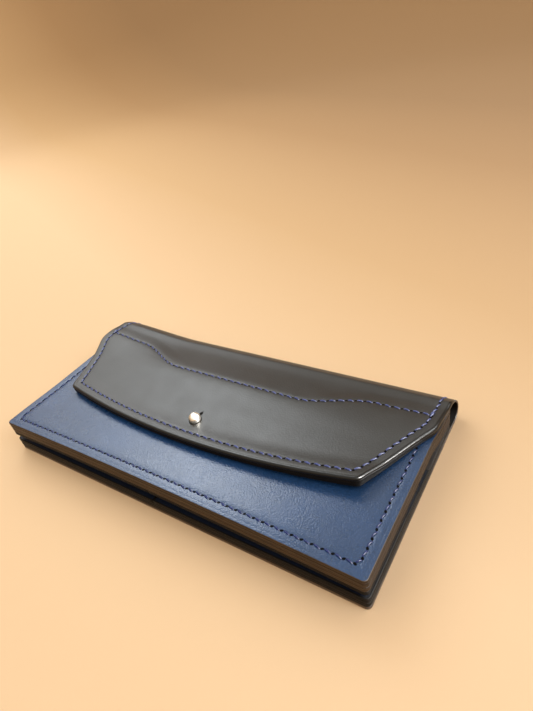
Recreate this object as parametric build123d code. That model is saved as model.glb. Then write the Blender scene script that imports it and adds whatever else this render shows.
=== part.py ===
"""A long leather wallet that folds once along its rear edge, with a flap over the front half.

Frame: X along the wallet, +Y towards the folded spine, +Z up.  The origin is under the middle
of the closed wallet, on the surface it lies on.  All sizes are in millimetres.

The lower half is the back half and the upper half is the front half.  A black leather flap
reaches forward over the front half and buttons onto a small ball stud.  One skin of black
leather covers the back half, rolls round the spine and goes on as the flap, so it is cut here
into back_outer_leather, spine_leather and flap_leather, where the wallet bends.
"""
from build123d import *
import os

# Overall size of the closed wallet
LENGTH = 195.0
DEPTH = 100.0
FRONT_EDGE = -DEPTH / 2
SPINE_APEX = DEPTH / 2
CORNER_RADIUS = 2.0
HALF_REAR = 37.0            # where the inner layers of both halves end
BACK_SKIN_REAR = 43.0       # where the back skin starts to roll into the spine
CLEARANCE = 0.3             # between pieces on different bodies

# Layer thicknesses, from the outside of each half to its inside
SKIN = 1.5
BLUE_PANEL = 1.6
FRONT_BACKING = 1.4
FRONT_LINING = 1.0
BACK_LINING = 1.1
BILL_DIVIDER = 1.2
CARD_BASE = 1.2
POCKET_LEAF = 0.6

# The front half: its blue face is level at the front and lower at the rear
FRONT_FACE = 17.4
SLOPE_START = 12.0
SLOPE_END = 30.0
SLOPE_DROP = 3.0

# Card pockets: two columns of stepped leaves in each half, open towards the spine
POCKET_TIERS = 3
POCKET_DEPTH = 60.0         # of the deepest leaf, from the front edge
POCKET_STEP = 12.0          # each next leaf is this much shorter

# The flap
FLAP_GAP = 0.6              # between the blue face and the flap's lining
FLAP_LINING = 1.8
FLAP_FRONT = -26.7          # middle of its bowed front edge
FLAP_CORNER_X = 81.4
FLAP_CORNER_Y = -18.6
FLAP_SIDE_Y = 20.0          # where its slanted sides reach the wallet's ends
FLAP_CORNER_RADIUS = 3.5
FOLD_Y = 40.0               # hinge line of the flap, at the top of the spine
FOLD_UNDERSIDE = 15.0       # height of the leather's inner face at the hinge line

# The bracket-shaped seam across the flap, and the lining that ends behind it
SEAM_MIDDLE_Y = 15.0
SEAM_MIDDLE_X = 36.0
SEAM_SHOULDER_X = 70.0
SEAM_SHOULDER_Y = 26.5
SEAM_END_Y = 28.0
LINING_MARGIN = 2.5

# Sewing thread
THREAD_WIDTH = 0.8
THREAD_HEIGHT = 0.3
FLAP_SEAM_INSET = 4.7
PANEL_SEAM_INSET = 4.6
BACK_SEAM_INSET = 4.2
GROOVE_DEPTH = 0.5

# The ball stud, screwed through the blue panel
STUD_Y = -14.0
BALL_DIAMETER = 5.6
BALL_CENTRE = 22.1
NECK_DIAMETER = 3.2
FLANGE_DIAMETER = 6.0
FLANGE_HEIGHT = 0.6
STUD_BORE = 2.7
SCREW_DIAMETER = 2.6
SCREW_REACH = 3.4           # into the stud, above the blue face
SCREW_HEAD_DIAMETER = 6.4
SCREW_HEAD_HEIGHT = 0.9
FLAP_HOLE_DIAMETER = 7.0

# The spine: the outer line of the rolled leather, and a hinge strip inside it
SPINE_BOTTOM_RADIUS = 5.0
SPINE_TOP_PULL = (46.0, 14.5)       # control points of the upper curve
SPINE_REAR_PULL = (50.0, 9.5)
STRIP = 0.8
STRIP_END_GAP = 8.0         # the strip stops short of the wallet's ends
STRIP_RADIUS = 3.8
STRIP_CENTRE_Y = 43.6
STRIP_CENTRE_Z = 7.0

FLAT_BASE = [(FRONT_EDGE, 0.0), (HALF_REAR, 0.0)]
FRONT_BASE = [
    (FRONT_EDGE, FRONT_FACE),
    (SLOPE_START, FRONT_FACE),
    (SLOPE_END, FRONT_FACE - SLOPE_DROP),
    (HALF_REAR, FRONT_FACE - SLOPE_DROP),
]
FLAP_UNDERSIDE = FRONT_FACE + FLAP_GAP + FLAP_LINING
FLAP_BASE = [
    (FRONT_EDGE, FLAP_UNDERSIDE),
    (SLOPE_START, FLAP_UNDERSIDE),
    (SLOPE_END, FLAP_UNDERSIDE - SLOPE_DROP),
    (FOLD_Y - CLEARANCE / 2, FOLD_UNDERSIDE),
]
TALL = 60.0                 # more than the height of the whole wallet


def plate(plan, base, low, high):
    """The part of a plan shape between two heights above a base line in Y and Z."""
    bottom = [(y, z + low) for y, z in base]
    top = [(y, z + high) for y, z in reversed(base)]
    side = Plane.YZ * make_face(Polyline(*bottom, *top, close=True))
    column = extrude(Pos(0, 0, -TALL / 2) * plan, TALL)
    return column & extrude(side, LENGTH, both=True)


def half_plan(inset=0.0, rear=HALF_REAR):
    """The outline of a half: square at the rear, rounded at its two front corners."""
    near = FRONT_EDGE + inset
    face = Pos(0, (near + rear) / 2) * Rectangle(LENGTH - 2 * inset, rear - near)
    corners = face.vertices().sort_by(Axis.Y)[:2]
    return fillet(corners, max(CORNER_RADIUS - inset, THREAD_WIDTH))


def half_seam_plan(inset):
    """A thread-wide band along the front and the ends of a half."""
    outer = half_plan(inset - THREAD_WIDTH / 2)
    inner = half_plan(inset + THREAD_WIDTH / 2, rear=HALF_REAR + THREAD_WIDTH)
    return outer - inner


def flap_plan(inset=0.0):
    """The outline of the flap, which is carried on past its fold and cut off by plate()."""
    past_fold = SPINE_APEX + FLAP_SEAM_INSET
    end = LENGTH / 2
    edge = ThreePointArc(
        (-FLAP_CORNER_X, FLAP_CORNER_Y), (0, FLAP_FRONT), (FLAP_CORNER_X, FLAP_CORNER_Y)
    )
    rest = Polyline(
        (FLAP_CORNER_X, FLAP_CORNER_Y),
        (end, FLAP_SIDE_Y),
        (end, past_fold),
        (-end, past_fold),
        (-end, FLAP_SIDE_Y),
        (-FLAP_CORNER_X, FLAP_CORNER_Y),
    )
    face = make_face(edge + rest)
    corners = face.vertices().sort_by(Axis.Y)[:2]
    face = fillet(corners, FLAP_CORNER_RADIUS)
    return offset(face, -inset) if inset else face


def bracket_line(end_x, shift=0.0):
    """The bracket-shaped seam from end to end, moved towards the spine by shift."""
    middle = (SEAM_MIDDLE_X, SEAM_MIDDLE_Y + shift)
    shoulder = (SEAM_SHOULDER_X, SEAM_SHOULDER_Y + shift)
    halfway = (SEAM_MIDDLE_X + SEAM_SHOULDER_X) / 2
    curve = Bezier(middle, (halfway, middle[1]), (halfway, shoulder[1]), shoulder)
    run = Line(shoulder, (end_x, SEAM_END_Y + shift))
    bar = Line((-middle[0], middle[1]), middle)
    return bar + curve + run + mirror(curve, Plane.YZ) + mirror(run, Plane.YZ)


def lining_plan():
    """The flap's lining: the front of the flap, back to just behind the bracket seam."""
    end = LENGTH / 2
    rear = SEAM_END_Y + LINING_MARGIN
    front = FRONT_EDGE - LINING_MARGIN
    rim = Polyline((end, rear), (end, front), (-end, front), (-end, rear))
    return make_face(bracket_line(end, LINING_MARGIN) + rim) & flap_plan()


def spine_side(inset):
    """The section between the spine's outer line and a line inset from it, or around it."""
    bottom = SPINE_BOTTOM_RADIUS
    fold_y = FOLD_Y + CLEARANCE / 2
    outer_fold = (fold_y, FOLD_UNDERSIDE + SKIN)
    outer = (
        Bezier(outer_fold, SPINE_TOP_PULL, SPINE_REAR_PULL, (SPINE_APEX, bottom))
        + RadiusArc((SPINE_APEX, bottom), (SPINE_APEX - bottom, 0), bottom)
        + Line((SPINE_APEX - bottom, 0), (BACK_SKIN_REAR, 0))
    )
    apex = SPINE_APEX - inset
    top_pull = (SPINE_TOP_PULL[0] - inset / 2, SPINE_TOP_PULL[1] - inset)
    rear_pull = (apex, SPINE_REAR_PULL[1] - inset / 3)
    inner_fold = (fold_y, FOLD_UNDERSIDE + SKIN - inset)
    inner = (
        Bezier(inner_fold, top_pull, rear_pull, (apex, bottom))
        + RadiusArc((apex, bottom), (SPINE_APEX - bottom, inset), bottom - inset)
        + Line((SPINE_APEX - bottom, inset), (BACK_SKIN_REAR, inset))
    )
    ends = Line(outer_fold, inner_fold) + Line((BACK_SKIN_REAR, 0), (BACK_SKIN_REAR, inset))
    return Plane.YZ * make_face(outer + inner + ends)


def stud_hole(diameter):
    """A vertical cylinder on the stud's axis, to cut holes with."""
    return Pos(0, STUD_Y) * Cylinder(diameter / 2, TALL)


def back_half():
    """The lower half, from the table up: skin, lining, banknote divider and card pockets."""
    skin_base = [(FRONT_EDGE, 0.0), (BACK_SKIN_REAR, 0.0)]
    skin = plate(half_plan(rear=BACK_SKIN_REAR), skin_base, 0, SKIN)
    groove = plate(half_seam_plan(BACK_SEAM_INSET), FLAT_BASE, 0, GROOVE_DEPTH)
    thread_low = GROOVE_DEPTH - THREAD_HEIGHT
    parts = {
        "back_outer_leather": skin - groove,
        "back_seam_thread": plate(
            half_seam_plan(BACK_SEAM_INSET), FLAT_BASE, thread_low, GROOVE_DEPTH
        ),
    }
    height = SKIN
    for name, thickness in (
        ("back_lining", BACK_LINING),
        ("back_bill_divider", BILL_DIVIDER),
        ("back_card_base", CARD_BASE),
    ):
        parts[name] = plate(half_plan(), FLAT_BASE, height, height + thickness)
        height += thickness
    parts.update(card_pockets("back", FLAT_BASE, height, 1))
    return parts


def front_half():
    """The upper half, from its blue face down to its card pockets, and the stud in it."""
    panel = plate(half_plan(), FRONT_BASE, -BLUE_PANEL, 0)
    backing_low = -BLUE_PANEL - FRONT_BACKING
    backing = plate(half_plan(), FRONT_BASE, backing_low, -BLUE_PANEL)
    head_base = FRONT_FACE + backing_low
    head = Pos(0, STUD_Y, head_base + SCREW_HEAD_HEIGHT / 2) * Cylinder(
        SCREW_HEAD_DIAMETER / 2, SCREW_HEAD_HEIGHT
    )
    shank_length = -backing_low + SCREW_REACH - SCREW_HEAD_HEIGHT
    shank_low = head_base + SCREW_HEAD_HEIGHT
    shank = Pos(0, STUD_Y, shank_low + shank_length / 2) * Cylinder(
        SCREW_DIAMETER / 2, shank_length
    )
    parts = {
        "front_blue_panel": panel - stud_hole(STUD_BORE),
        "front_backing": backing - stud_hole(STUD_BORE) - head,
        "front_seam_thread": plate(
            half_seam_plan(PANEL_SEAM_INSET), FRONT_BASE, 0, THREAD_HEIGHT
        ),
        "stud_screw": head + shank,
        "stud_ball": stud(),
    }
    depth = backing_low
    for name, thickness in (
        ("front_lining", FRONT_LINING),
        ("front_bill_divider", BILL_DIVIDER),
        ("front_card_base", CARD_BASE),
    ):
        parts[name] = plate(half_plan(), FRONT_BASE, depth - thickness, depth)
        depth -= thickness
    parts.update(card_pockets("front", FRONT_BASE, depth, -1))
    return parts


def card_pockets(half, base, height, direction):
    """Two columns of pocket leaves, stacked on a card base in the given Z direction."""
    column = LENGTH / 2
    parts = {}
    for tier in range(POCKET_TIERS):
        rear = FRONT_EDGE + POCKET_DEPTH - tier * POCKET_STEP
        start = height + direction * tier * POCKET_LEAF
        low, high = sorted((start, start + direction * POCKET_LEAF))
        leaves = plate(half_plan(rear=rear), base, low, high)
        for side, sign in (("left", -1), ("right", 1)):
            window = Pos(sign * column / 2, 0) * Box(column, 2 * DEPTH, 2 * TALL)
            parts[f"{half}_card_pocket_{side}_{tier + 1}"] = leaves & window
    return parts


def stud():
    """The polished stud: a flange on the leather, a neck and a ball, bored for its screw."""
    flange = Pos(0, STUD_Y, FRONT_FACE + FLANGE_HEIGHT / 2) * Cylinder(
        FLANGE_DIAMETER / 2, FLANGE_HEIGHT
    )
    neck_height = BALL_CENTRE - FRONT_FACE
    neck = Pos(0, STUD_Y, FRONT_FACE + neck_height / 2) * Cylinder(
        NECK_DIAMETER / 2, neck_height
    )
    ball = Pos(0, STUD_Y, BALL_CENTRE) * Sphere(BALL_DIAMETER / 2)
    bore_depth = SCREW_REACH + CLEARANCE
    bore = Pos(0, STUD_Y, FRONT_FACE + bore_depth / 2) * Cylinder(STUD_BORE / 2, bore_depth)
    return flange + neck + ball - bore


def flap():
    """The flap: black leather, a shorter lining under it, and its two seams."""
    leather = plate(flap_plan(), FLAP_BASE, 0, SKIN)
    lining = plate(lining_plan(), FLAP_BASE, -FLAP_LINING, 0)
    inset = FLAP_SEAM_INSET
    edge_band = flap_plan(inset - THREAD_WIDTH / 2) - flap_plan(inset + THREAD_WIDTH / 2)
    bracket_end = LENGTH / 2 - inset - THREAD_WIDTH
    bracket_band = trace(bracket_line(bracket_end), THREAD_WIDTH)
    thread_top = SKIN + THREAD_HEIGHT
    return {
        "flap_leather": leather - stud_hole(FLAP_HOLE_DIAMETER),
        "flap_lining": lining - stud_hole(FLAP_HOLE_DIAMETER),
        "flap_edge_thread": plate(edge_band, FLAP_BASE, SKIN, thread_top),
        "flap_bracket_thread": plate(bracket_band, FLAP_BASE, SKIN, thread_top),
    }


def spine():
    """The rolled leather, the seam ends sewn over it, and the hinge strip inside it."""
    seam_x = LENGTH / 2 - FLAP_SEAM_INSET
    above_bottom = Pos(0, 0, SPINE_BOTTOM_RADIUS + TALL / 2)
    over_top = above_bottom * Box(LENGTH, 2 * DEPTH, TALL)
    wrap = extrude(spine_side(-THREAD_HEIGHT), LENGTH, both=True) & over_top
    seams = [
        wrap & Pos(sign * seam_x, 0) * Box(THREAD_WIDTH, 2 * DEPTH, 2 * TALL)
        for sign in (-1, 1)
    ]
    return {
        "spine_leather": extrude(spine_side(SKIN), LENGTH / 2, both=True),
        "spine_seam_thread": Compound(seams),
        "spine_hinge_strip": hinge_strip(),
    }


def hinge_strip():
    """A thin strip that joins the two halves and turns back on itself inside the spine."""
    centre = (STRIP_CENTRE_Y, STRIP_CENTRE_Z)
    middle_radius = STRIP_RADIUS - STRIP / 2
    low = centre[1] - middle_radius
    high = centre[1] + middle_radius
    turn = ThreePointArc((centre[0], low), (centre[0] + middle_radius, centre[1]), (centre[0], high))
    path = Line((HALF_REAR, low), (centre[0], low)) + turn + Line((centre[0], high), (HALF_REAR, high))
    return extrude(Plane.YZ * trace(path, STRIP), LENGTH / 2 - STRIP_END_GAP, both=True)


def main():
    """Write every piece to its own file."""
    os.makedirs("parts", exist_ok=True)
    for group in (back_half(), spine(), front_half(), flap()):
        for name, shape in group.items():
            export_step(Compound(shape.solids()), f"parts/{name}.step")


main()
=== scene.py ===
"""Looks for the long wallet: leather pieces, sewing and the ball stud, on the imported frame.

Lengths below are in millimetres unless a name says otherwise, and become metres in to_scene().
X runs along the wallet, +Y towards its folded spine, +Z up.
"""
import math
import random

import bpy
import numpy as np
from mathutils import Matrix, Vector
from mathutils.geometry import delaunay_2d_cdt
from mathutils.kdtree import KDTree

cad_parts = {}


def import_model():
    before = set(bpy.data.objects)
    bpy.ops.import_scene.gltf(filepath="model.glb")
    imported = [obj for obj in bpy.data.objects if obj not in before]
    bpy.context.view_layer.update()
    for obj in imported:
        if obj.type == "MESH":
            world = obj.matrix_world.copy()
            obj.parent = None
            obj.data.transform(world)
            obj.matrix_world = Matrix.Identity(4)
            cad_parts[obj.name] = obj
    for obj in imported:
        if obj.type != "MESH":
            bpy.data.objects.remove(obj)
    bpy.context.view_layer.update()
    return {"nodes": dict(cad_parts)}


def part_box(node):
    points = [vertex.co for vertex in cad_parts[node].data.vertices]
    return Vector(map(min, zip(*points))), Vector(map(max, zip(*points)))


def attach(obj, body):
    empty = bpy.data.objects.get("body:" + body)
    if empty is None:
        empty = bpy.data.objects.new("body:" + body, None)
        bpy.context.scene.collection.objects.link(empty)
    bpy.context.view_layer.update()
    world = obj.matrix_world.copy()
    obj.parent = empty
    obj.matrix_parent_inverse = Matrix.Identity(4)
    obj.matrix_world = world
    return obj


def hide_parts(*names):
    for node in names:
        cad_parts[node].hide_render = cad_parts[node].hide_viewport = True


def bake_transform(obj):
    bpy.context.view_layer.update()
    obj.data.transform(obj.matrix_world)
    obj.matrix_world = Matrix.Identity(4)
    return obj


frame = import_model()


# ---------------------------------------------------------------- sizes, from the frame

def limits(node):
    """Lowest and highest corner of a CAD node, in millimetres."""
    low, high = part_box(node)
    return [c * 1000 for c in low], [c * 1000 for c in high]


def thickness_of(node):
    """The thickness of a level CAD layer."""
    low, high = limits(node)
    return high[2] - low[2]


def thickness_of_front(node):
    """The thickness of a front-half layer, which slopes, from its height and the slope."""
    return thickness_of(node) - SLOPE[2]


panel_low, panel_high = limits("front_blue_panel")
END = panel_high[0]                  # half the wallet's length
FRONT = panel_low[1]                 # y of the free front edge
HALF_REAR = panel_high[1]            # where the inner layers end
FRONT_FACE = panel_high[2]           # height of the blue face at the front
APEX = limits("spine_leather")[1][1]    # rearmost point of the spine
SKIN = thickness_of("back_outer_leather")
BACK_LAYERS = ["back_lining", "back_bill_divider", "back_card_base"]
FRONT_LAYERS = ["front_blue_panel", "front_backing", "front_lining", "front_bill_divider",
                "front_card_base"]
LEAF = thickness_of("back_card_pocket_left_1")
CORNER = 2.0                         # radius of each half's front corners

SLOPE = (12.0, 30.0, 3.0)            # the front half drops by the last, between these two y
PANEL_BOW = 2.2                      # how far the middle of the blue front edge bows up
BOW_START = -12.0                    # y where that bow starts
LEFT_LIFT = 0.8                      # how much further open the left end is

FOLD_Y = 40.0                        # where the flap hinges
FOLD_TOP = 15.9                      # height of the leather there
FLAP_FRONT = limits("flap_leather")[0][1]
FLAP_BOW = (81.4, FLAP_FRONT, -18.6)    # its front edge: half width, middle y, corner y
FLAP_SIDE = 20.0                     # y where the flap's slanted sides reach the ends
FLAP_CORNER = 3.5                    # radius of its front corners
FLAP_KINK = 14.0                     # radius where its slanted sides meet the ends
FLAP_LIFT = (0.1, 1.7)               # how far its left and right corners lift
LINING_FILL = 0.5                    # how far the lining thickens under what lifts
FRONT_CURL = 1.6                     # how far its front edge curls up at the right end
CURL_DEPTH = 12.5                    # how far back from that edge the curl reaches
LINING = 1.8                         # thickness of the flap's lining
LINING_EDGE = 2.5                    # how far it reaches behind the bracket seam
STEP_DOWN = 0.35                     # how far the skin sinks behind it
PUFF = (3.6, 3.6)                    # how far the fold's left end stands up, and sideways
PUFF_X = -48.0                       # x where that starts
SPINE_ROUND = 5.0                    # radius of the spine's lower edge
STRIP = 0.8                          # thickness of the hinge strip
SKIVE = 0.42                         # share of the leather pared away round the spine
SPLIT = 46.0                         # where the flap piece meets the spine piece, along the skin
BRACKET = (36.0, 70.0, 15.0, 26.5, 28.0)   # seam: end of middle, shoulder x; the three y
FLAP_INSET = 4.7                     # from an edge to its seam
PANEL_INSET = 4.6
BACK_INSET = 4.2
FLAP_CREASE = 1.9                    # from an edge to the creased line beside it
PANEL_CREASE = 1.6
GROOVE = 0.15                        # depth of the sewing grooves
GROOVE_WIDTH = 0.9                   # half their width
SPREAD = 0.3                         # gap that each inner layer opens towards the spine
PITCH = 4.0                          # length of a stitch
HOLE_ROUNDING = 0.5                  # how far a hole's edge is rounded, next to an outline's
STUD_Y = (limits("stud_ball")[0][1] + limits("stud_ball")[1][1]) / 2
BALL_RADIUS = 2.8
NECK_RADIUS = 1.6                    # of the stud, below its ball


# ---------------------------------------------------------------- small maths

def smooth(a, b, t):
    """0 before a, 1 after b, and an even ease between them."""
    t = np.clip((np.asarray(t, float) - a) / (b - a), 0, 1)
    return t * t * (3 - 2 * t)


def curve_through(knots, count):
    """Points on a smooth curve through a few given knots."""
    p = np.array([knots[0]] + list(knots) + [knots[-1]], float)
    out = []
    for a, b, c, d in zip(p, p[1:], p[2:], p[3:]):
        for t in np.linspace(0, 1, count, endpoint=False):
            out.append(0.5 * (2 * b + (c - a) * t + (2 * a - 5 * b + 4 * c - d) * t * t
                              + (3 * b - 3 * c + d - a) * t ** 3))
    return np.array(out + [p[-1]])


def bezier(a, b, c, d, count=24):
    """Points on a cubic Bezier curve, without its last point."""
    t = np.linspace(0, 1, count, endpoint=False)[:, None]
    a, b, c, d = (np.array(q, float) for q in (a, b, c, d))
    return a * (1 - t) ** 3 + 3 * b * t * (1 - t) ** 2 + 3 * c * t * t * (1 - t) + d * t ** 3


def arc(centre, radius, start, stop, count=16):
    """Points on an arc between two angles in degrees."""
    angles = np.radians(np.linspace(start, stop, count))
    return np.stack([centre[0] + radius * np.cos(angles), centre[1] + radius * np.sin(angles)], 1)


def along(line):
    """Distance along a polyline at each of its points."""
    steps = np.linalg.norm(np.diff(line, axis=0), axis=1)
    return np.concatenate([[0], np.cumsum(steps)])


def resample(line, spacing):
    """The polyline with points a fixed distance apart, as near to spacing as fits."""
    line = np.asarray(line, float)
    s = along(line)
    count = max(1, round(s[-1] / spacing))
    at = np.linspace(0, s[-1], count + 1)
    return np.stack([np.interp(at, s, line[:, k]) for k in range(line.shape[1])], 1)


def subdivide(loop, step):
    """A closed outline with its long stretches cut into steps."""
    out = []
    for a, b in zip(loop, np.roll(loop, -1, axis=0)):
        count = max(1, math.ceil(np.linalg.norm(b - a) / step))
        out += [a + (b - a) * k / count for k in range(count)]
    return np.array(out)


def rounded(corners, count=8):
    """A closed outline through (x, y, radius) corners, anticlockwise."""
    out = []
    n = len(corners)
    for k, (x, y, radius) in enumerate(corners):
        here = np.array([x, y])
        if radius == 0:
            out.append(here)
            continue
        before = np.array(corners[k - 1][:2]) - here
        after = np.array(corners[(k + 1) % n][:2]) - here
        before /= np.linalg.norm(before)
        after /= np.linalg.norm(after)
        half = math.acos(np.clip(before @ after, -1, 1)) / 2
        reach = radius / math.tan(half)
        middle = here + (before + after) / np.linalg.norm(before + after) * radius / math.sin(half)
        a = here + before * reach - middle
        b = here + after * reach - middle
        turn = math.atan2(a[0] * b[1] - a[1] * b[0], a @ b)
        for t in np.linspace(0, turn, count):
            c, s = math.cos(t), math.sin(t)
            out.append(middle + [c * a[0] - s * a[1], s * a[0] + c * a[1]])
    return np.array(out)


def inward(loop):
    """For each point of a closed outline, the offset that moves it 1 mm into the material."""
    before = loop - np.roll(loop, 1, axis=0)
    after = np.roll(loop, -1, axis=0) - loop
    out = np.zeros_like(loop)
    for d in (before, after):
        d = d / np.linalg.norm(d, axis=1)[:, None]
        out += np.stack([-d[:, 1], d[:, 0]], 1)
    return out * 2 / np.maximum((out ** 2).sum(1), 0.5)[:, None]


def inside(points, loop):
    """Which points lie inside a closed outline."""
    x, y = points[:, 0][:, None], points[:, 1][:, None]
    x1, y1 = loop[:, 0], loop[:, 1]
    x2, y2 = np.roll(x1, -1), np.roll(y1, -1)
    crosses = (y1 > y) != (y2 > y)
    with np.errstate(divide="ignore", invalid="ignore"):
        at = x1 + (y - y1) * (x2 - x1) / (y2 - y1)
    return (crosses & (x < at)).sum(1) % 2 == 1


def tree_of(points):
    """A search tree of 2D points."""
    tree = KDTree(len(points))
    for k, (x, y) in enumerate(points):
        tree.insert((x, y, 0), k)
    tree.balance()
    return tree


def distance_to(points, tree):
    """Distance from each 2D point to the nearest point in a tree."""
    return np.array([tree.find((x, y, 0))[2] for x, y in points])


# ---------------------------------------------------------------- the leather's shape

def skin_profile():
    """The outer line of the black leather in Y and Z, from the flap's front to the table."""
    top = curve_through(
        [(-60, 23.4), (-30, 21.8), (-15, 21.25), (0, 21.1), (11, 20.95), (21, 19.65), (31, 17.5),
         (FOLD_Y, FOLD_TOP)], 16
    )
    turn = bezier((FOLD_Y, FOLD_TOP), (45.4, 13.7), (APEX, 9.3), (APEX, SPINE_ROUND), 40)
    under = arc((APEX - SPINE_ROUND, SPINE_ROUND), SPINE_ROUND, 0, -90, 24)
    flat = np.array([(y, 0.0) for y in np.linspace(44, FRONT - 10, 60)])
    line = np.concatenate([top[:-1], turn, under, flat])
    return line, np.interp(FOLD_Y, top[:, 0], along(line)[:len(top)])


PROFILE, fold_at = skin_profile()
PROFILE_S = along(PROFILE)
PROFILE_NORMAL = np.gradient(PROFILE, PROFILE_S, axis=0)[:, ::-1] * [-1, 1]
UNDER_V = FOLD_Y + PROFILE_S[np.argmax(PROFILE[:, 1] < 1e-6)] - fold_at    # v where it lies flat
BACK_V = UNDER_V + (APEX - SPINE_ROUND - FRONT)    # v of the back half's front edge


def skive(v):
    """The leather is pared thinner where it rolls round the spine."""
    return 1 - SKIVE * smooth(FOLD_Y - 2, FOLD_Y + 5, v) * (1 - smooth(UNDER_V - 2, UNDER_V + 6, v))


def skin_place(x, v, depth):
    """Where the black leather is: v is y on the flap, and the length along the skin after it."""
    depth = depth * skive(v)
    top = slice(0, len(PROFILE) // 2)
    s = np.where(v < FOLD_Y, np.interp(v, PROFILE[top, 0], PROFILE_S[top]), fold_at + v - FOLD_Y)
    y = np.interp(s, PROFILE_S, PROFILE[:, 0])
    z = np.interp(s, PROFILE_S, PROFILE[:, 1])
    ny = np.interp(s, PROFILE_S, PROFILE_NORMAL[:, 0])
    nz = np.interp(s, PROFILE_S, PROFILE_NORMAL[:, 1])
    puff = smooth(PUFF_X, -END, x) * smooth(5, 34, v) * (1 - smooth(FOLD_Y + 6, UNDER_V, v))
    return np.stack([x - PUFF[1] * puff, y - ny * depth, z - nz * depth + PUFF[0] * puff], 1)


def bracket_y(x):
    """The bracket seam's y over the flap."""
    mid_x, shoulder_x, mid_y, shoulder_y, end_y = BRACKET
    rise = (shoulder_y - mid_y) * smooth(mid_x, shoulder_x, np.abs(x))
    return mid_y + rise + (end_y - shoulder_y) * smooth(shoulder_x, END, np.abs(x))


def flap_curl(x, v):
    """How far the flap's front corners lift and its front edge curls up, less to the left."""
    lift = np.where(x < 0, FLAP_LIFT[0], FLAP_LIFT[1])
    corner = lift * smooth(15, FLAP_BOW[2] - 5, v) * (np.abs(x) / FLAP_BOW[0]) ** 3
    share = 0.65 + 0.35 * x / END
    return corner + FRONT_CURL * share * smooth(CURL_DEPTH, 0, v - bow_y(x))


def step_down(x, v):
    """The skin sinks a little behind the bracket seam, where the lining under it ends."""
    behind = v - bracket_y(x)
    return -STEP_DOWN * smooth(0.5, 9, behind) * (1 - smooth(33, 41, v))


def flap_place(x, v, h):
    """The flap's black leather at height h above its flesh side."""
    out = skin_place(x, v, SKIN - h)
    out[:, 2] += flap_curl(x, v) + step_down(x, v)
    return out


def lining_place(x, v, h):
    """The brown lining, stuck to the flap's flesh side, and thicker where the flap lifts."""
    out = skin_place(x, v, SKIN + LINING - h)
    out[:, 2] += flap_curl(x, v) * (1 - LINING_FILL * (1 - h / LINING))
    return out


def spine_place(x, v, h):
    """The same skin, from behind the flap to the back half's front edge."""
    return skin_place(x, v, SKIN - h)


def front_top(x, y):
    """Height of the blue face."""
    drop = SLOPE[2] * smooth(SLOPE[0], SLOPE[1], y)
    open_up = smooth(BOW_START, FRONT, y)
    bow = PANEL_BOW * (1 - (x / END) ** 2) + LEFT_LIFT * (1 - x / END) / 2
    return FRONT_FACE - drop + bow * open_up


def spread(y, share):
    """How far a layer parts from the outer leather towards the spine."""
    return SPREAD * share * smooth(6, 33, y)


def front_layer(top, share=0):
    """A surface map for a layer of the front half whose lower face is top mm below the blue."""
    def place(x, y, h):
        return np.stack([x, y, front_top(x, y) - top - spread(y, share) + h], 1)
    return place


def level_layer(low, share=0):
    """A surface map for a level layer whose lower face is at a height."""
    def place(x, y, h):
        return np.stack([x, y, low + spread(y, share) + h], 1)
    return place


def inner_surface(half):
    """The inside of a half, over its card pockets; heights count out of the leather."""
    rears = [limits(f"{half}_card_pocket_left_{tier}")[1][1] for tier in (1, 2, 3)]
    stack = BACK_LAYERS if half == "back" else FRONT_LAYERS
    depth = sum(thickness_of(n) if half == "back" else thickness_of_front(n) for n in stack)

    def place(x, y, h):
        leaves = LEAF * sum(1 - smooth(rear - 1, rear + 1, y) for rear in rears)
        if half == "back":
            return np.stack([x, y, SKIN + depth + leaves + h], 1)
        return np.stack([x, y, front_top(x, y) - depth - leaves - spread(y, 4) - h], 1)
    return place


# ---------------------------------------------------------------- outlines

def half_outline(inset=0.0):
    """A half's outline, moved inwards, with round front corners."""
    x, y = END - inset, FRONT + inset
    radius = max(CORNER - inset, 0.5)
    return rounded([(x, HALF_REAR, 0), (-x, HALF_REAR, 0), (-x, y, radius), (x, y, radius)])


def half_seam(inset):
    """The seam line along one end, the front and the other end."""
    return np.roll(half_outline(inset), -1, axis=0)


def bow_y(x):
    """The flap's front edge."""
    half, mid_y, corner_y = FLAP_BOW
    return mid_y + (corner_y - mid_y) * (x / half) ** 2


def flap_front(inset=0.0):
    """The flap's edge from the rear of its left end round its front to its right end."""
    half = FLAP_BOW[0]
    side = math.hypot(END - half, FLAP_SIDE - FLAP_BOW[2])
    slant = (FLAP_SIDE - FLAP_BOW[2]) / side     # how square the slanted side is to X
    run = (END - half) / side
    corner_x = half - inset * (1 - run) / slant
    side_y = FLAP_SIDE + inset * (1 - slant) / run * 0.6
    bow = [(x, bow_y(x) + inset, 0) for x in np.linspace(-corner_x + 8, corner_x - 8, 41)]
    radius = max(FLAP_CORNER - inset / 2, 1.2)
    return rounded(
        [(-END + inset, SPLIT, 0), (-END + inset, side_y, FLAP_KINK),
         (-corner_x, bow_y(corner_x) + inset, radius)]
        + bow
        + [(corner_x, bow_y(corner_x) + inset, radius),
           (END - inset, side_y, FLAP_KINK), (END - inset, SPLIT, 0)]
    )


def bracket_line(end):
    """The bracket seam from end to end."""
    x = np.linspace(-end, end, 240)
    return np.stack([x, bracket_y(x)], 1)


def lining_outline():
    """The flap's lining: the flap's front, back to just behind the bracket seam."""
    front = flap_front(0.15)
    front = front[front[:, 1] < BRACKET[4] + LINING_EDGE]
    rear = bracket_line(END - 0.15)[::-1] + [0, LINING_EDGE]
    return np.concatenate([front, rear])


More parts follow.
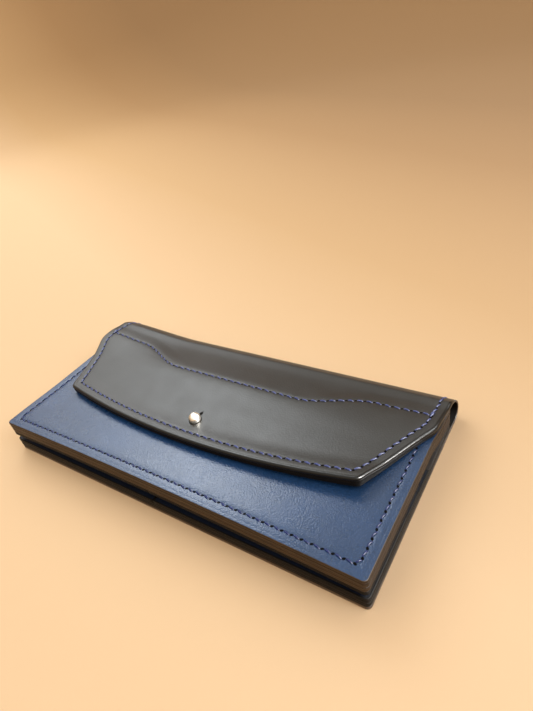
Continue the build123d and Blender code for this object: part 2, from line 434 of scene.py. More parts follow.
def stud_slit(radius=2.35, slit=2.6, half_width=0.06):
    """The button hole: a round hole with a short slit behind it, clockwise."""
    start = math.degrees(math.asin(half_width / radius))
    hole = arc((0, STUD_Y), radius, 90 - start, -270 + start, 28)
    tip = STUD_Y + radius + slit
    return np.concatenate([hole, [(-half_width, tip - 0.3), (0, tip), (half_width, tip - 0.3)]])


# ---------------------------------------------------------------- meshes

def to_scene(name, points, faces, marks, materials):
    """A mesh object from points in millimetres, with a material number for each face."""
    mesh = bpy.data.meshes.new(name)
    mesh.from_pydata((np.asarray(points) * 0.001).tolist(), [], faces)
    mesh.polygons.foreach_set("material_index", marks)
    mesh.polygons.foreach_set("use_smooth", [True] * len(faces))
    for material in materials:
        mesh.materials.append(material)
    mesh.update()
    made = bpy.data.objects.new(name, mesh)
    bpy.context.scene.collection.objects.link(made)
    return made


def edge_profile(thickness, radius, under, steps=3):
    """(inset, height) rings from the lower face, round its edge, to the upper face."""
    turn = np.radians(np.linspace(0, 90, steps + 1))
    guard = max(radius, under) + 0.35
    low = [(under * (1 - math.sin(t)), under * (1 - math.cos(t))) for t in turn]
    high = [(radius * (1 - math.sin(t)), thickness - radius * (1 - math.cos(t)))
            for t in turn[::-1]]
    return [(guard, 0.0)] + low + high + [(guard, thickness)]


def fill(rings, spacing, rows):
    """Extra 2D points inside some outlines and triangles over all of them."""
    boundary = np.concatenate(rings)
    low, high = boundary.min(0), boundary.max(0)
    near = [p for row in rows for p in row]
    if near:
        near = np.array(near)
        near = near[inside(near, rings[0])]
        for hole in rings[1:]:
            near = near[~inside(near, hole)]
        near = near[distance_to(near, tree_of(boundary)) > 0.3]
    fixed = np.concatenate([boundary, near]) if len(near) else boundary
    ys = np.arange(low[1] + spacing / 2, high[1], spacing * 0.866)
    xs = np.arange(low[0] + spacing / 2, high[0], spacing)
    grid = np.array([(x + (k % 2) * spacing / 2, y) for k, y in enumerate(ys) for x in xs])
    grid = grid[inside(grid, rings[0])]
    for hole in rings[1:]:
        grid = grid[~inside(grid, hole)]
    grid = grid[distance_to(grid, tree_of(fixed)) > 0.62 * spacing]
    points = np.concatenate([fixed, grid])
    edges, start = [], 0
    for ring in rings:
        n = len(ring)
        edges += [(start + k, start + (k + 1) % n) for k in range(n)]
        start += n
    _, _, triangles, origin, _, _ = delaunay_2d_cdt(
        [Vector(p) for p in points], edges, [], 1, 1e-6)
    triangles = [[origin[v][0] for v in t] for t in triangles]
    for hole in rings[1:]:
        middles = np.array([points[t].mean(0) for t in triangles])
        keep = ~inside(middles, hole)
        triangles = [t for t, k in zip(triangles, keep) if k]
    return points[len(boundary):], triangles


def slab(name, loops, place, thickness, materials, radius=0.45, spacing=1.1, rows=(),
         relief=None, top_strips=2, step=1.1, side_open=None, under=None):
    """A sheet of leather with round edges.

    place(x, y, h) maps its flat outline and a height to the wallet.  The first loop is its
    outline and the rest are holes.  materials are for its upper face, its edge, and its lower
    face with the edges of its holes.  radius and under round its upper and lower edges, and
    relief(x, y) raises or sinks its upper face.
    """
    loops = [subdivide(loop, step) for loop in loops]
    offsets = [inward(loop) * (1 if k == 0 else HOLE_ROUNDING) for k, loop in enumerate(loops)]
    if side_open is not None:
        for loop, offset in zip(loops, offsets):
            cut = side_open(loop)
            offset[cut, 1] = 0
            offset[cut, 0] = np.sign(offset[cut, 0]) * (np.abs(loop[cut, 0]) > END - 1)
    profile = edge_profile(thickness, radius, radius if under is None else under)
    flat = np.concatenate(loops)
    shift = np.concatenate(offsets)
    total = len(flat)
    uv = [flat + shift * inset for inset, _ in profile]
    height = [np.full(total, h) for _, h in profile]
    faces, marks = [], []
    rings = len(profile)
    for k in range(rings - 1):
        start = 0
        mark = 2 if k == 0 else (0 if k >= rings - 1 - top_strips else 1)
        for number, loop in enumerate(loops):
            n = len(loop)
            for j in range(n):
                a, b = start + j, start + (j + 1) % n
                faces.append((k * total + a, k * total + b,
                              (k + 1) * total + b, (k + 1) * total + a))
                marks.append(2 if number > 0 and mark == 1 else mark)
            start += n
    bounds = np.split(uv[-1], np.cumsum([len(loop) for loop in loops])[:-1])
    extra, triangles = fill(bounds, spacing, rows)
    for ring, h, mark, flip in ((rings - 1, thickness, 0, False), (0, 0.0, 2, True)):
        base = sum(len(u) for u in uv)
        uv.append(extra)
        height.append(np.full(len(extra), h))
        for t in triangles:
            face = [ring * total + v if v < total else base + v - total for v in t]
            faces.append(face[::-1] if flip else face)
            marks.append(mark)
    uv, height = np.concatenate(uv), np.concatenate(height)
    if relief is not None:
        share = np.clip((height - (thickness - radius)) / radius, 0, 1)
        raised = share > 0
        height[raised] += share[raised] * relief(uv[raised, 0], uv[raised, 1])
    return to_scene(name, place(uv[:, 0], uv[:, 1], height), faces, marks, materials)


def grooves(lines):
    """A relief made of grooves: (polyline, depth, half width) for each."""
    trees = [(tree_of(resample(line, 0.3)), depth, width) for line, depth, width in lines]

    def relief(x, y):
        points = np.stack([x, y], 1)
        out = np.zeros(len(points))
        for tree, depth, width in trees:
            out -= depth * np.exp(-(distance_to(points, tree) / width) ** 2)
        return out
    return relief


def groove_rows(lines, spread=1.2, step=1.0):
    """Rows of mesh points along some grooves, so that the mesh can follow them."""
    rows = []
    for line, _, width in lines:
        line = resample(line, step)
        d = np.gradient(line, axis=0)
        side = np.stack([-d[:, 1], d[:, 0]], 1) / np.linalg.norm(d, axis=1)[:, None]
        for offset in (-spread, -0.5, 0, 0.5, spread):
            rows.append(line + side * offset * width)
    return rows


def cross_rows(places, step):
    """Rows of mesh points from end to end of the wallet, where the leather bends."""
    x = np.arange(-END + 1, END - 0.5, step)
    return [np.stack([x, np.full(len(x), v)], 1) for v in places]


def stitch_row(name, lines, place, top, materials, pitch=PITCH, slant=0.42, radius=0.36,
               seed=1, bury=0.30, rise=0.26, hole=(1.0, 0.60), inside_out=False):
    """Hand-sewn stitches along some polylines, each going into an awl hole at both ends, whose dark
    shade is painted.
    """
    rng = random.Random(seed)
    steps, sides = 9, 8
    u = np.linspace(0, 1, steps)
    points, faces, marks = [], [], []

    def world(flat, h):
        return place(flat[:, 0], flat[:, 1], np.full(len(flat), top) + h)

    for line in lines:
        holes = resample(line, pitch)
        for a, b in zip(holes, holes[1:]):
            run = b - a
            length = np.linalg.norm(run)
            ahead = run / length
            side = np.array([-ahead[1], ahead[0]])
            lean = slant * (1 + rng.uniform(-0.25, 0.25))
            start = a + ahead * 0.13 * length + side * lean
            stop = b - ahead * 0.13 * length - side * lean
            flat = start + (stop - start) * u[:, None]
            lift = -bury + (bury + rise * rng.uniform(0.85, 1.15)) * np.sin(np.pi * u) ** 0.55
            centre = world(flat, lift)
            above = world(flat, lift + 1) - centre
            above /= np.linalg.norm(above, axis=1)[:, None]
            forward = np.gradient(centre, axis=0)
            forward /= np.linalg.norm(forward, axis=1)[:, None]
            across = np.cross(above, forward)
            across /= np.linalg.norm(across, axis=1)[:, None]
            up = np.cross(forward, across)
            size = radius * (0.72 + 0.28 * np.sin(np.pi * u))
            base = len(points)
            phase = rng.uniform(0, 6.28)
            for k in range(steps):
                for j in range(sides):
                    turn = 2 * np.pi * j / sides
                    ply = 1 + 0.10 * math.cos(2 * turn - 9 * u[k] + phase)
                    r = size[k] * ply
                    points.append(centre[k] + across[k] * r * math.cos(turn)
                                  + up[k] * 0.72 * r * math.sin(turn))
            for k in range(steps - 1):
                for j in range(sides):
                    q, w = base + k * sides + j, base + k * sides + (j + 1) % sides
                    faces.append((q, w, w + sides, q + sides))
                    marks.append(0)
            faces.append([base + j for j in reversed(range(sides))])
            faces.append([base + (steps - 1) * sides + j for j in range(sides)])
            marks += [0, 0]
            add_hole_shade(points, faces, marks, a, ahead, side, world, hole, inside_out)
    return to_scene(name, points, faces, marks, materials)


def add_hole_shade(points, faces, marks, centre, ahead, side, world, size, inside_out, sides=10):
    """An awl hole's shade, painted: a dark, nearly unreflecting shallow flat bowl just above the
    leather, slanted like the stitches.
    """
    way = -1 if inside_out else 1
    long_way = ahead * 0.45 + side * 0.75
    long_way = long_way / np.linalg.norm(long_way)
    short_way = np.array([-long_way[1], long_way[0]])
    base = len(points)
    for scale, h in ((1.0, 0.02), (0.55, 0.05)):
        turns = [way * 2 * np.pi * j / sides for j in range(sides)]
        flat = np.array([centre + long_way * size[0] * scale * math.cos(t)
                         + short_way * size[1] * scale * math.sin(t) for t in turns])
        points.extend(world(flat, np.full(sides, h)))
    for j in range(sides):
        k = (j + 1) % sides
        faces.append((base + j, base + k, base + sides + k, base + sides + j))
        marks.append(1)
    faces.append([base + sides + j for j in range(sides)])
    marks.append(1)


def lathe(name, profile, centre, materials, sides=64):
    """A turned piece from (radius, height) points, closed on its axis at both ends."""
    points, faces = [], []
    for r, z in profile[1:-1]:
        for j in range(sides):
            turn = 2 * np.pi * j / sides
            points.append((centre[0] + r * math.cos(turn), centre[1] + r * math.sin(turn),
                           centre[2] + z))
    rows = len(profile) - 2
    for k in range(rows - 1):
        for j in range(sides):
            a, b = k * sides + j, k * sides + (j + 1) % sides
            faces.append((a, b, b + sides, a + sides))
    low, high = len(points), len(points) + 1
    points.append((centre[0], centre[1], centre[2] + profile[0][1]))
    points.append((centre[0], centre[1], centre[2] + profile[-1][1]))
    last = (rows - 1) * sides
    for j in range(sides):
        k = (j + 1) % sides
        faces.append((low, k, j))
        faces.append((high, last + j, last + k))
    return to_scene(name, points, faces, [0] * len(faces), materials)


# ---------------------------------------------------------------- materials

def new_material(name, **sockets):
    """A material and its shader, with plain values set on the shader's sockets."""
    material = bpy.data.materials.new(name)
    material.use_nodes = True
    shader = material.node_tree.nodes["Principled BSDF"]
    for key, value in sockets.items():
        socket = shader.inputs[key.replace("_", " ")]
        socket.default_value = (*value, 1.0) if isinstance(value, tuple) else value
    return material, shader


def noise(tree, scale, detail=3.0, roughness=0.55, stretch=(1, 1, 1)):
    """A noise texture in the object's own space, with its scale in cycles per metre."""
    where = tree.nodes.new("ShaderNodeTexCoord")
    mapping = tree.nodes.new("ShaderNodeMapping")
    mapping.inputs["Scale"].default_value = stretch
    texture = tree.nodes.new("ShaderNodeTexNoise")
    texture.inputs["Scale"].default_value = scale
    texture.inputs["Detail"].default_value = detail
    texture.inputs["Roughness"].default_value = roughness
    tree.links.new(where.outputs["Object"], mapping.inputs["Vector"])
    tree.links.new(mapping.outputs["Vector"], texture.inputs["Vector"])
    return texture.outputs["Fac"]


def pebbles(tree, scale):
    """Small uneven domes, for pebbled grain."""
    where = tree.nodes.new("ShaderNodeTexCoord")
    warp = tree.nodes.new("ShaderNodeTexNoise")
    warp.inputs["Scale"].default_value = scale * 0.45
    bent = tree.nodes.new("ShaderNodeVectorMath")
    bent.operation = "MULTIPLY_ADD"
    bent.inputs[1].default_value = (0.6 / scale,) * 3
    texture = tree.nodes.new("ShaderNodeTexVoronoi")
    texture.feature = "SMOOTH_F1"
    texture.inputs["Scale"].default_value = scale
    texture.inputs["Smoothness"].default_value = 0.35
    tree.links.new(where.outputs["Object"], warp.inputs["Vector"])
    tree.links.new(warp.outputs["Color"], bent.inputs[0])
    tree.links.new(where.outputs["Object"], bent.inputs[2])
    tree.links.new(bent.outputs["Vector"], texture.inputs["Vector"])
    return texture.outputs["Distance"]


def ramp(tree, value, stops):
    """A colour or grey ramp over a value."""
    node = tree.nodes.new("ShaderNodeValToRGB")
    band = node.color_ramp
    while len(band.elements) < len(stops):
        band.elements.new(0.5)
    for element, (at, colour) in zip(band.elements, stops):
        element.position = at
        grey = not isinstance(colour, tuple)
        element.color = (colour, colour, colour, 1) if grey else (*colour, 1)
    tree.links.new(value, node.inputs["Fac"])
    return node.outputs["Color"]


def mix(tree, a, b, share):
    """Mixes two colours by a value or a number."""
    node = tree.nodes.new("ShaderNodeMix")
    node.data_type = "RGBA"
    for socket, value in ((node.inputs[6], a), (node.inputs[7], b), (node.inputs[0], share)):
        if isinstance(value, bpy.types.NodeSocket):
            tree.links.new(value, socket)
        elif isinstance(value, tuple):
            socket.default_value = (*value, 1)
        else:
            socket.default_value = value
    return node.outputs[2]


def bump(tree, shader, layers):
    """Stacks bump layers: (height, strength, distance in metres)."""
    normal = None
    for height, strength, distance in layers:
        node = tree.nodes.new("ShaderNodeBump")
        node.inputs["Strength"].default_value = strength
        node.inputs["Distance"].default_value = distance
        tree.links.new(height, node.inputs["Height"])
        if normal is not None:
            tree.links.new(normal, node.inputs["Normal"])
        normal = node.outputs["Normal"]
    tree.links.new(normal, shader.inputs["Normal"])


def leather(name, dark, light, rough=(0.40, 0.48), grain=900.0, pebble=0.25, specular=0.5,
            swell=0.06, fine=0.25):
    """Leather with slightly mottled colour, fine pebbled grain and uneven gloss."""
    material, shader = new_material(name, Specular_IOR_Level=specular)
    tree = material.node_tree
    colour = ramp(tree, noise(tree, 45.0, 4.0, 0.6), [(0.30, dark), (0.70, light)])
    pits = ramp(tree, noise(tree, 1400.0, 2.0), [(0.30, 0.25), (0.46, 0.0)])
    colour = mix(tree, colour, (0.0, 0.0, 0.0), pits)
    tree.links.new(colour, shader.inputs["Base Color"])
    gloss = ramp(tree, noise(tree, 130.0, 4.0), [(0.3, rough[0]), (0.7, rough[1])])
    tree.links.new(gloss, shader.inputs["Roughness"])
    pores = ramp(tree, pebbles(tree, grain), [(0.15, 1.0), (0.75, 0.0)])
    bump(tree, shader, [
        (noise(tree, 35.0, 2.0), swell, 0.0004),
        (pores, pebble, 0.00009),
        (noise(tree, 2400.0, 2.0), fine, 0.00004),
    ])
    return material


def cut_edge(name, dark, light, rough, specular):
    """A burnished cut edge: faint streaks that run along the edge, and darker patches."""
    material, shader = new_material(name, Roughness=rough, Specular_IOR_Level=specular)
    tree = material.node_tree
    streaks = noise(tree, 1.0, 3.0, 0.6, (60, 60, 900.0))
    blotch = noise(tree, 160.0, 3.0)
    colour = ramp(tree, streaks, [(0.30, dark), (0.75, light)])
    colour = mix(tree, colour, dark, ramp(tree, blotch, [(0.42, 0.0), (0.7, 0.6)]))
    tree.links.new(colour, shader.inputs["Base Color"])
    bump(tree, shader, [(streaks, 0.2, 0.00008), (noise(tree, 900.0, 2.0), 0.2, 0.00006)])
    return material


def thread_material(name, dark, light, specular):
    """Waxed thread."""
    material, shader = new_material(name, Roughness=0.42, Specular_IOR_Level=specular)
    tree = material.node_tree
    fibres = noise(tree, 2200.0, 2.0)
    tree.links.new(ramp(tree, fibres, [(0.3, dark), (0.7, light)]), shader.inputs["Base Color"])
    bump(tree, shader, [(fibres, 0.5, 0.00008)])
    return material


def polished_metal(name, colour, rough):
    """Polished metal with faint handling marks."""
    material, shader = new_material(name, Metallic=1.0, Base_Color=colour)
    tree = material.node_tree
    marks = ramp(tree, noise(tree, 700.0, 4.0), [(0.3, rough), (0.75, rough + 0.12)])
    tree.links.new(marks, shader.inputs["Roughness"])
    return material


BLACK = leather("black_leather", (0.007, 0.007, 0.007), (0.010, 0.0095, 0.009),
                (0.38, 0.43), 1300.0, 0.22, 0.42, 0.02)
BLUE = leather("blue_leather", (0.008, 0.036, 0.110), (0.012, 0.048, 0.145),
               (0.26, 0.29), 1500.0, 0.40, 0.42, 0.01, 0.5)
LINING_LEATHER = leather("lining_leather", (0.022, 0.016, 0.013), (0.036, 0.026, 0.020),
                         (0.50, 0.62), specular=0.15)
POCKET_LEATHER = leather("pocket_leather", (0.004, 0.007, 0.018), (0.007, 0.012, 0.030),
                         (0.42, 0.52), 1300.0, 0.30, 0.18)
# The flesh side is made near-black and nearly unreflecting so the hollow inside the spine looks
# black: its own dark colour and painted shade together.
FLESH_AND_SHADE = leather("flesh_side_and_painted_shade", (0.004, 0.003, 0.002), (0.009, 0.007, 0.005), (0.75, 0.9),
                500.0, 0.4, 0.05)
BROWN_EDGE = cut_edge("brown_edge", (0.026, 0.0145, 0.006), (0.062, 0.034, 0.014), 0.5, 0.14)
BLACK_EDGE = cut_edge("black_edge", (0.002, 0.0015, 0.001), (0.010, 0.0065, 0.004), 0.5, 0.1)
GLOSS_EDGE = cut_edge("glossy_black_edge", (0.002, 0.002, 0.002), (0.004, 0.0035, 0.003), 0.28,
                      0.30)
RAW_EDGE = cut_edge("raw_edge", (0.050, 0.030, 0.018), (0.13, 0.085, 0.050), 0.5, 0.35)
# Painted shade in the stitch holes: near-black and nearly unreflecting.
HOLE_SHADE = new_material("needle_hole_painted_shade", Base_Color=(0.002, 0.002, 0.003), Roughness=0.9,
                    Specular_IOR_Level=0.02)[0]
BLUE_THREAD = thread_material("blue_thread", (0.026, 0.040, 0.16), (0.065, 0.090, 0.30), 0.30)
NAVY_THREAD = thread_material("navy_thread", (0.007, 0.015, 0.09), (0.016, 0.032, 0.18), 0.25)
NICKEL = polished_metal("polished_nickel", (0.84, 0.81, 0.74), 0.26)


# ---------------------------------------------------------------- the pieces


def finish_piece(piece, body, node):
    """Rides a piece on its body, in place of its CAD node if it has one."""
    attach(piece, body)
    if node:
        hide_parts(node)


def build_back_skin():
    """Spine and back half in one piece of black leather, which rolls round the spine."""
    outline = rounded([
        (-END, SPLIT, 0), (END, SPLIT, 0), (END, BACK_V, CORNER), (-END, BACK_V, CORNER),
    ])
    seam_x, seam_v = END - BACK_INSET, BACK_V - BACK_INSET
    seam = rounded([
        (-END + FLAP_INSET, SPLIT + 1, 0), (seam_x, SPLIT + 1, 0),
        (seam_x, seam_v, 1.0), (-seam_x, seam_v, 1.0),
    ])
    over = [np.array([(s * (END - FLAP_INSET), SPLIT), (s * (END - FLAP_INSET), UNDER_V)])
            for s in (-1, 1)]
    under = np.roll(seam, -1, axis=0)
    under = under[under[:, 1] > UNDER_V + 8]
    lines = [(line, GROOVE, GROOVE_WIDTH) for line in over + [under]]
    turn_rows = cross_rows(np.arange(SPLIT + 0.4, UNDER_V + 4, 0.8), 2.0)
    skin = slab("back_and_spine_leather", [outline], spine_place, SKIN,
                [BLACK, RAW_EDGE, FLESH_AND_SHADE], radius=0.3, spacing=3.0,
                rows=turn_rows + groove_rows(lines), relief=grooves(lines),
                side_open=lambda p: p[:, 1] < SPLIT + 0.1)
    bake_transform(skin)
    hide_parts("back_outer_leather", "spine_leather")
    over_thread = stitch_row("spine_thread", [line[::-1] for line in over], spine_place,
                             SKIN - GROOVE, [BLUE_THREAD, HOLE_SHADE], seed=11)
    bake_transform(over_thread)
    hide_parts("spine_seam_thread")
    under_thread = stitch_row("back_seam_stitches", [under], spine_place, SKIN - GROOVE,
                              [NAVY_THREAD, HOLE_SHADE], seed=12, rise=0.1)
    finish_piece(under_thread, "back_half", "back_seam_thread")


def build_flap():
    """The flap's black leather, its lining, and their seams."""
    outline = flap_front()
    seam = flap_front(FLAP_INSET)
    bracket = bracket_line(END - FLAP_INSET - 0.4)
    lines = [(seam, GROOVE, GROOVE_WIDTH), (bracket, GROOVE, GROOVE_WIDTH),
             (flap_front(FLAP_CREASE), 0.05, 0.35)]
    split_rows = cross_rows(np.arange(SPLIT - 4, SPLIT - 0.3, 0.7), 1.5)
    flap = slab("flap_black_leather", [outline, stud_slit()], flap_place, SKIN,
                [BLACK, GLOSS_EDGE, FLESH_AND_SHADE], radius=1.05, under=0.2,
                rows=groove_rows(lines) + split_rows, relief=grooves(lines), top_strips=0,
                side_open=lambda p: p[:, 1] > SPLIT - 0.1)
    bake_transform(flap)
    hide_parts("flap_leather")
    lining = slab("flap_lining_leather", [lining_outline(), stud_slit(2.5, 2.8, 0.10)],
                  lining_place, LINING, [LINING_LEATHER, BLACK_EDGE, LINING_LEATHER],
                  spacing=2.0)
    finish_piece(lining, "flap", "flap_lining")
    edge = stitch_row("flap_edge_stitches", [seam], flap_place, SKIN - GROOVE,
                      [BLUE_THREAD, HOLE_SHADE], seed=21, radius=0.40)
    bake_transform(edge)
    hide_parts("flap_edge_thread")
    middle = stitch_row("flap_bracket_stitches", [bracket], flap_place, SKIN - GROOVE,
                        [BLUE_THREAD, HOLE_SHADE], seed=22, radius=0.40)
    finish_piece(middle, "flap", "flap_bracket_thread")
    knot_y = BRACKET[4] + 1.0
    crossings = [np.array([(s * (END - FLAP_INSET), knot_y - 1.9),
                           (s * (END - FLAP_INSET), knot_y + 1.9)]) for s in (-1, 1)]
    knots = stitch_row("flap_double_stitches", crossings, flap_place, SKIN - 0.1,
                       [BLUE_THREAD, HOLE_SHADE], pitch=3.8, slant=0.1, radius=0.62, seed=23, rise=0.4)
    finish_piece(knots, "flap", None)


def build_front_half():
    """The blue panel with its seam, and the layers under it."""
    seam = half_seam(PANEL_INSET)
    lines = [(seam, GROOVE, GROOVE_WIDTH), (half_seam(PANEL_CREASE), 0.03, 0.3)]
    blue = thickness_of_front("front_blue_panel")
    panel = slab("blue_panel_leather", [half_outline()], front_layer(blue), blue,
                 [BLUE, BROWN_EDGE, FLESH_AND_SHADE], radius=0.35, rows=groove_rows(lines),
                 relief=grooves(lines), top_strips=1)
    finish_piece(panel, "front_half", "front_blue_panel")
    thread = stitch_row("panel_stitches", [seam], front_layer(blue), blue - GROOVE,
                        [NAVY_THREAD, HOLE_SHADE], seed=31)
    finish_piece(thread, "front_half", "front_seam_thread")
    depth = blue
    for k, node in enumerate(FRONT_LAYERS[1:]):
        thick = thickness_of_front(node)
        depth += thick
        top = FLESH_AND_SHADE if node == "front_backing" else LINING_LEATHER
        layer = slab(node + "_leather", [half_outline(0.06 * (k % 2))],
                     front_layer(depth, k + 1), thick, [top, BROWN_EDGE, LINING_LEATHER],
                     radius=0.15, spacing=5.0, step=2.0)
        finish_piece(layer, "front_half", node)
    build_pockets("front", depth)


def build_back_layers():
    """The lining, banknote divider and card pockets of the back half."""
    height = SKIN
    for k, node in enumerate(BACK_LAYERS):
        thick = thickness_of(node)
        layer = slab(node + "_leather", [half_outline(0.06 * ((k + 1) % 2))],
                     level_layer(height, k + 1), thick,
                     [LINING_LEATHER, BLACK_EDGE, LINING_LEATHER], radius=0.15, spacing=5.0,
                     step=2.0)
        finish_piece(layer, "back_half", node)
        height += thick
    build_pockets("back", height)


def build_pockets(half, start):
    """The stepped card pockets of a half, stacked away from its card base."""
    for side, sign in (("left", -1), ("right", 1)):
        for tier in (1, 2, 3):
            node = f"{half}_card_pocket_{side}_{tier}"
            low, high = limits(node)
            inner, outer = sorted((low[0], high[0]), key=abs)
            outline = rounded([(inner, high[1], 0), (outer, high[1], 0), (outer, FRONT, CORNER),
                               (inner, FRONT, 0)][::-sign])
            if half == "front":
                place = front_layer(start + tier * LEAF, 4)
                materials = [LINING_LEATHER, BLACK_EDGE, POCKET_LEATHER]
            else:
                place = level_layer(start + (tier - 1) * LEAF)
                materials = [POCKET_LEATHER, BLACK_EDGE, LINING_LEATHER]
            made = slab(node + "_leaf", [outline], place, LEAF, materials, radius=0.22,
                        spacing=5.0, step=2.0, top_strips=0)
            finish_piece(made, half + "_half", node)


def build_inner_sewing(half, inset, seed):
    """The stitches that show inside a half: round its edge, and between its pocket columns."""
    rear = limits(half + "_card_pocket_left_1")[1][1]
    between = np.array([(0.0, FRONT + inset + PITCH), (0.0, rear - 1.0)])
    sewing = stitch_row(half + "_inner_stitches", [half_seam(inset), between],
                        inner_surface(half), 0.0, [NAVY_THREAD, HOLE_SHADE], seed=seed,
                        rise=0.2, inside_out=half == "front")
    finish_piece(sewing, half + "_half", None)


def build_stud():
    """The polished ball stud."""
    low, high = limits("stud_ball")
    base, tip = low[2], high[2]
    centre = tip - BALL_RADIUS - base
    start = math.degrees(math.asin(NECK_RADIUS / BALL_RADIUS)) - 90
    neck_top = centre + BALL_RADIUS * math.sin(math.radians(start))
    profile = [(0, 0.0), (2.85, 0.0), (3.0, 0.15), (2.95, 0.4), (2.6, 0.6), (1.8, 0.75),
               (NECK_RADIUS, 1.1), (NECK_RADIUS, neck_top)]
    for angle in np.linspace(start + 4, 86, 26):
        t = math.radians(angle)
        profile.append((BALL_RADIUS * math.cos(t), centre + BALL_RADIUS * math.sin(t)))
    profile.append((0, centre + BALL_RADIUS))
    stud = lathe("ball_stud", profile, (0, STUD_Y, base), [NICKEL])
    finish_piece(stud, "front_half", "stud_ball")


def build_hinge_strip():
    """The strip against the inside of the spine, which joins the two halves."""
    low, high = limits("spine_hinge_strip")
    radius = (high[2] - low[2]) / 2 - STRIP / 2
    middle = (high[2] + low[2]) / 2
    foot, head = middle - radius, middle + radius
    turn = bezier((42.0, foot - 1.0), (48.4, foot - 1.6), (48.8, 7.4), (45.8, head - 0.2))
    line = np.concatenate([[(HALF_REAR, foot), (40.0, foot - 0.3)], turn,
                           [(44.0, head), (HALF_REAR, head)]])
    s = along(line)
    normal = np.gradient(line, s, axis=0)[:, ::-1] * [1, -1]

    def place(x, v, h):
        y, z = (np.interp(v, s, line[:, k]) for k in (0, 1))
        ny, nz = (np.interp(v, s, normal[:, k]) for k in (0, 1))
        return np.stack([x, y + ny * (h - STRIP / 2), z + nz * (h - STRIP / 2)], 1)

    outline = rounded([(low[0], 0, 0), (high[0], 0, 0), (high[0], s[-1], 0), (low[0], s[-1], 0)])
    rows = cross_rows(np.arange(0.8, s[-1], 0.8), 3.0)
    strip = slab("hinge_strip_leather", [outline], place, STRIP,
                 [POCKET_LEATHER, BROWN_EDGE, FLESH_AND_SHADE], radius=0.25, spacing=3.0, rows=rows)
    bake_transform(strip)
    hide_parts("spine_hinge_strip")


# ---------------------------------------------------------------- camera, light and floor

def build_camera():
    """A wide lens, close to the wallet's right front corner, rolled to its right."""
    azimuth, elevation, roll = (math.radians(a) for a in (39.9, 35.9, 13.3))
    target = Vector((-0.0037, 0.0492, 0.010))
    distance = 0.281
    back = Vector((math.sin(azimuth) * math.cos(elevation),
                   -math.cos(azimuth) * math.cos(elevation), math.sin(elevation)))
    level = Vector((math.cos(azimuth), math.sin(azimuth), 0))
    up = back.cross(level)
    right = level * math.cos(roll) - up * math.sin(roll)
    up = back.cross(right)
    data = bpy.data.cameras.new("camera")
    data.lens = 26.32
    data.sensor_width = 36.0
    data.clip_start = 0.01
    camera = bpy.data.objects.new("camera", data)
    camera.matrix_world = Matrix.Translation(target + back * distance) @ Matrix(
        (right, up, back)).transposed().to_4x4()
    bpy.context.scene.collection.objects.link(camera)
    bpy.context.scene.camera = camera


def area_light(name, location, size, power, colour, gloss_only=False):
    """A soft rectangular light that points at the wallet."""
    data = bpy.data.lights.new(name, "AREA")
    data.shape = "RECTANGLE"
    data.size, data.size_y = size
    data.energy = power
    data.color = colour
    light = bpy.data.objects.new(name, data)
    light.location = location
    light.rotation_euler = (-Vector(location)).to_track_quat("-Z", "Y").to_euler()
    light.visible_diffuse = not gloss_only
    bpy.context.scene.collection.objects.link(light)


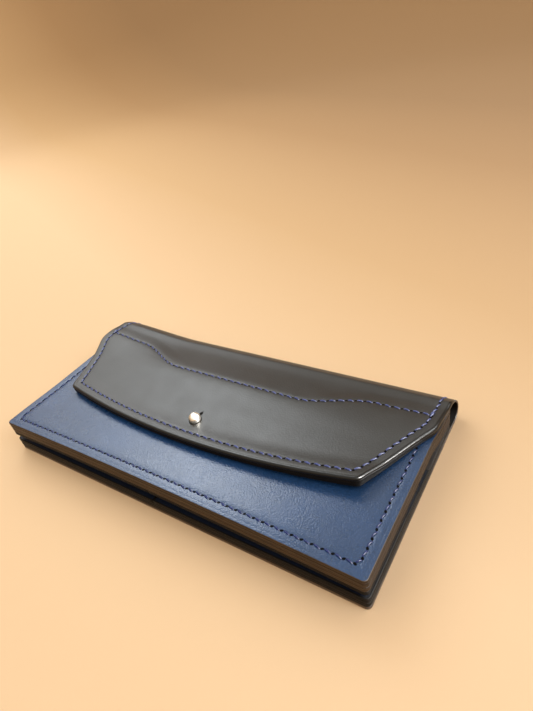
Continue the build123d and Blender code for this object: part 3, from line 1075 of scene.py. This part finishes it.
def build_stage():
    """A warm paper sweep with a painted falloff of light, a soft sky, a key and a rim light, and
    three that only glint.

    Lengths are in metres here, and the power of the lights in watts.
    """
    flat, bend, floor, steps, sides = 0.9, 0.7, -0.0003, 14, 96
    profile = [(r, floor) for r in (0.0, 0.15, 0.4, flat)]
    profile += [(flat + bend * math.sin(a), bend * (1 - math.cos(a)))
                for a in np.linspace(0.1, math.pi / 2, steps)]
    turns = [2 * math.pi * j / sides for j in range(sides)]
    points = [(0, 0, floor)] + [(r * math.cos(t), r * math.sin(t), z)
                                for r, z in profile[1:] for t in turns]
    faces = [(0, 1 + j, 1 + (j + 1) % sides) for j in range(sides)]
    for k in range(len(profile) - 2):
        for j in range(sides):
            a, b = 1 + k * sides + j, 1 + k * sides + (j + 1) % sides
            faces.append((a, a + sides, b + sides, b))
    paper, shader = new_material("paper", Roughness=0.85, Specular_IOR_Level=0.2)
    tree = paper.node_tree
    # Painted falloff of light: the paper's colour darkens further back and to the right, as painted
    # shade where the light fades.
    where = tree.nodes.new("ShaderNodeTexCoord")
    across = tree.nodes.new("ShaderNodeVectorMath")
    across.operation = "DOT_PRODUCT"
    across.inputs[1].default_value = (0.42, 1.0, 0.0)
    tree.links.new(where.outputs["Object"], across.inputs[0])
    shifted = tree.nodes.new("ShaderNodeMath")
    shifted.inputs[1].default_value = -0.03
    tree.links.new(across.outputs["Value"], shifted.inputs[0])
    painted_falloff = ramp(tree, shifted.outputs["Value"], [
        (0.0, (0.72, 0.51, 0.315)), (0.15, (0.56, 0.365, 0.19)), (0.36, (0.40, 0.243, 0.117)),
        (0.54, (0.335, 0.203, 0.099))])
    tree.links.new(painted_falloff, shader.inputs["Base Color"])
    bump(tree, shader, [(noise(tree, 1500.0, 2.0), 0.15, 0.00005)])
    sweep = to_scene("paper_sweep", np.array(points) * 1000, faces, [0] * len(faces), [paper])
    world = bpy.data.worlds.new("world")
    bpy.context.scene.world = world
    world.use_nodes = True
    sky = world.node_tree.nodes["Background"]
    up = world.node_tree.nodes.new("ShaderNodeSeparateXYZ")
    toward = world.node_tree.nodes.new("ShaderNodeTexCoord")
    world.node_tree.links.new(toward.outputs["Generated"], up.inputs["Vector"])
    glow = ramp(world.node_tree, up.outputs["Z"], [
        (0.0, (0.55, 0.51, 0.44)), (0.5, (1.0, 0.93, 0.80)), (1.0, (1.08, 1.00, 0.86))])
    world.node_tree.links.new(glow, sky.inputs["Color"])
    sky.inputs["Strength"].default_value = 1.15
    area_light("key", (-0.64, 0.40, 0.66), (0.60, 0.60), 3.2, (0.90, 0.96, 1.0))
    area_light("glint", (-0.515, 0.47, 0.72), (0.30, 0.30), 2.75, (0.92, 0.97, 1.0), True)
    area_light("rim", (0.72, 0.02, 0.66), (0.20, 0.40), 1.6, (1.0, 0.98, 0.95))
    area_light("rim_glint", (0.70, 0.06, 0.70), (0.36, 0.50), 75.0, (1.0, 0.98, 0.95), True)
    area_light("edge_glint", (0.44, 0.56, 0.55), (0.30, 0.30), 4.0, (0.95, 0.98, 1.0), True)
    bpy.context.scene.view_settings.view_transform = "Standard"


build_camera()
build_stage()
build_back_layers()
build_back_skin()
build_hinge_strip()
build_front_half()
build_inner_sewing("back", BACK_INSET, 41)
build_inner_sewing("front", PANEL_INSET, 42)
build_flap()
build_stud()
frame["nodes"]["stud_screw"].data.materials.clear()
frame["nodes"]["stud_screw"].data.materials.append(NICKEL)
